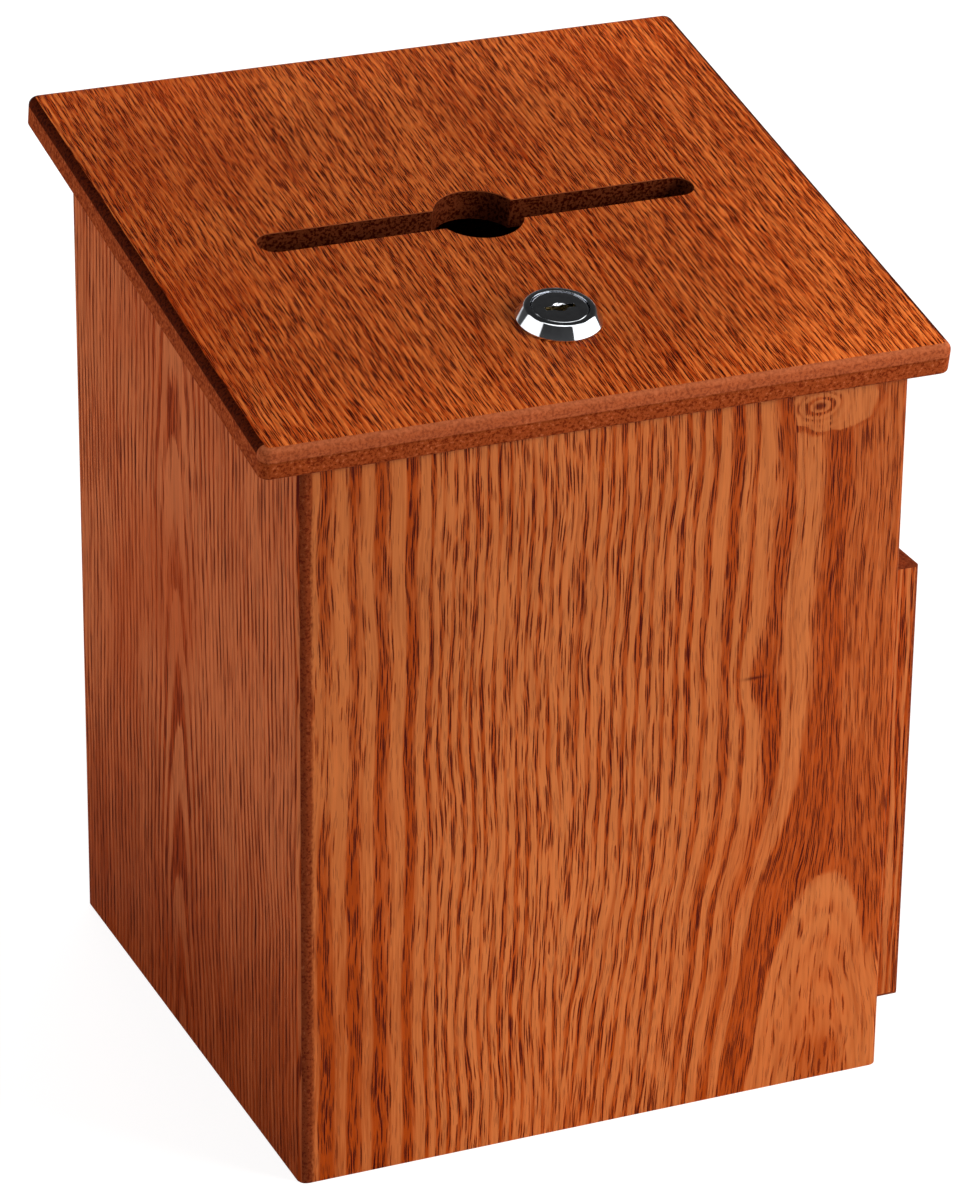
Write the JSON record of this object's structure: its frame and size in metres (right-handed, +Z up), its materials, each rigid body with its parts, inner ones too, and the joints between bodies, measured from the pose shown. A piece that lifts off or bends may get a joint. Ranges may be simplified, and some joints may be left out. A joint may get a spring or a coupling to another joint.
{
  "type": "donation box",
  "caption": "Square wooden donation box with a sloping hinged lid, ballot slot with finger hole, cam lock and side card pocket.",
  "frame": {"origin": "centre of the square footprint, on the underside of the base board", "axes": "+X towards the card pocket, to the right of a person facing the front; +Y from the low front to the high back; +Z up"},
  "size_m": [0.1971, 0.1842, 0.2537],
  "materials": {
    "oak_veneer": "open-pored oak veneer, reddish-brown stain, satin lacquer",
    "stained_fibreboard": "fibreboard with the same stain, matt",
    "chrome": "polished",
    "zinc": "bright zinc plate",
    "brass": "satin"
  },
  "bodies": {
    "box": {"back_wall": "oak_veneer", "base_board": "stained_fibreboard", "front_wall": "oak_veneer", "glue_block_back_left": "stained_fibreboard", "glue_block_back_right": "stained_fibreboard", "glue_block_front_left": "stained_fibreboard", "glue_block_front_right": "stained_fibreboard", "hinge_left_fixed_leaf": "brass", "hinge_left_fixed_screw_1": "brass", "hinge_left_fixed_screw_2": "brass", "hinge_left_pin": "brass", "hinge_right_fixed_leaf": "brass", "hinge_right_fixed_screw_1": "brass", "hinge_right_fixed_screw_2": "brass", "hinge_right_pin": "brass", "left_wall": "oak_veneer", "pocket_back_strip": "oak_veneer", "pocket_face": "oak_veneer", "pocket_floor_strip": "oak_veneer", "pocket_front_strip": "oak_veneer", "right_wall": "oak_veneer", "strike_plate": "zinc", "strike_screw_left": "zinc", "strike_screw_right": "zinc"},
    "lid": {"hinge_left_lid_leaf": "brass", "hinge_left_lid_screw_1": "brass", "hinge_left_lid_screw_2": "brass", "hinge_right_lid_leaf": "brass", "hinge_right_lid_screw_1": "brass", "hinge_right_lid_screw_2": "brass", "lid": "oak_veneer", "lock_housing": "chrome", "lock_nut": "zinc"},
    "lock_core": {"cam_screw": "zinc", "cam_washer": "zinc", "lock_cam": "zinc", "lock_plug": "chrome", "lock_wafer_1": "brass", "lock_wafer_2": "brass", "lock_wafer_3": "brass", "lock_wafer_4": "brass", "lock_wafer_5": "brass"}
  },
  "joints": [
    {"name": "lid_hinge", "type": "hinge", "parent": "box", "child": "lid", "pos_m": [0, 0.08974, 0.24446], "axis": [-1, 0, 0], "range_deg": [0, 130]},
    {"name": "lock_turn", "type": "hinge", "parent": "lid", "child": "lock_core", "pos_m": [0, -0.05284, 0.22657], "axis": [0, 0.1874, -0.9823], "range_deg": [0, 90]}
  ]
}
